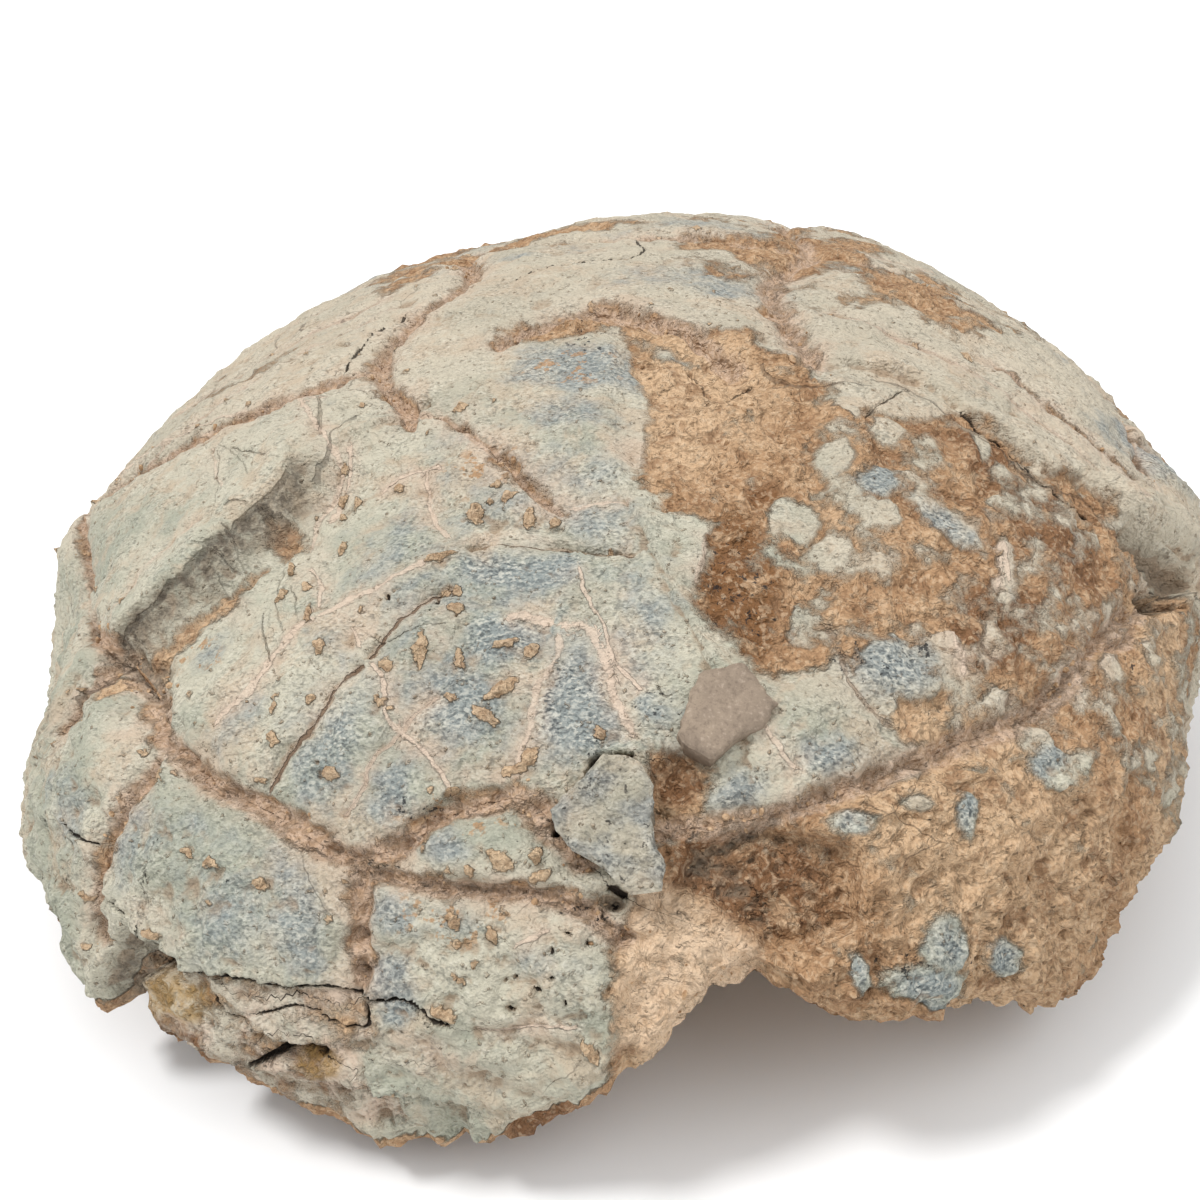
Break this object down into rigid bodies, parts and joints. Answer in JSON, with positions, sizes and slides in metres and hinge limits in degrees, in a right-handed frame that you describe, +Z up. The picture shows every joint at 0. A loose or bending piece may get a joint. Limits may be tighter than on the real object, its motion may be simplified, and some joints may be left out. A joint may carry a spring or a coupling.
{
  "type": "fossil turtle shell",
  "caption": "Fossil turtle shell: a domed, cracked bone carapace cemented to the hardened sediment inside it and to its flat plastron, resting on the belly.",
  "frame": {"origin": "on the surface the shell rests on, under the middle of its outline", "axes": "+Y along the shell's length, away from the better kept end, +Z up through the crown, +X to the right when facing the better kept end from outside"},
  "size_m": [0.2406, 0.315, 0.0972],
  "materials": {
    "fossil_bone": "dull dry mineralised bone, pale greenish cream mottled blue-grey, with tan to orange-brown sediment in the grooves and over part of it"
  },
  "bodies": {
    "root": {"fossil_shell": "fossil_bone"}
  },
  "joints": []
}
